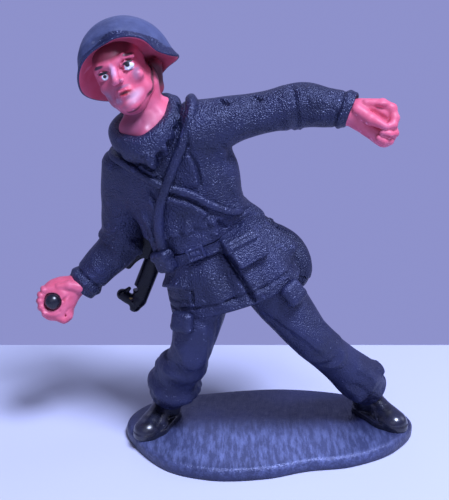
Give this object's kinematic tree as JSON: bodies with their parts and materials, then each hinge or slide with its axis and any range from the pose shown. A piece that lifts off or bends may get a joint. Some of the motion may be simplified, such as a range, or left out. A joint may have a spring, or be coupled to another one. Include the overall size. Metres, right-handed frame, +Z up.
{
  "type": "toy soldier figure",
  "caption": "Painted plastic toy soldier in a throwing pose on an irregular oval base, with helmet, smock, pouches, haversack and a slung gun.",
  "frame": {"origin": "middle of the underside of the base, on the surface that the figure stands on", "axes": "+Z up, -Y the way the figure faces, +X towards its left hand (image right)"},
  "size_m": [0.0623, 0.027, 0.0695],
  "materials": {
    "base": "dark blue-black moulded plastic, brushed texture",
    "boots": "gloss black paint on moulded plastic",
    "trousers": "dark blue-black moulded plastic, soft sheen",
    "jacket": "dark blue-black moulded plastic, orange-peel sheen",
    "webbing": "dark blue-black moulded plastic, orange-peel sheen",
    "skin": "pink flesh paint, satin",
    "helmet": "dark blue-grey paint, satin",
    "weapons": "gloss black paint"
  },
  "bodies": {
    "root": {"base": "base", "right_boot": "boots", "left_boot": "boots", "right_trouser_leg": "trousers", "left_trouser_leg": "trousers", "right_thigh_pocket": "trousers", "left_thigh_pocket": "trousers", "jacket": "jacket", "collar": "jacket", "right_sleeve": "jacket", "left_sleeve": "jacket", "right_hand": "skin", "left_hand": "skin", "grenade": "weapons", "head": "skin", "helmet": "helmet", "belt": "webbing", "belt_buckle": "webbing", "left_ammo_pouch": "webbing", "left_pouch_flap": "webbing", "right_ammo_pouch": "webbing", "haversack": "webbing", "haversack_roll": "webbing", "haversack_strap": "webbing", "gun_sling": "webbing", "gun_stock": "weapons", "gun_body": "weapons", "gun_magazine": "weapons", "gun_barrel": "weapons"}
  },
  "joints": []
}
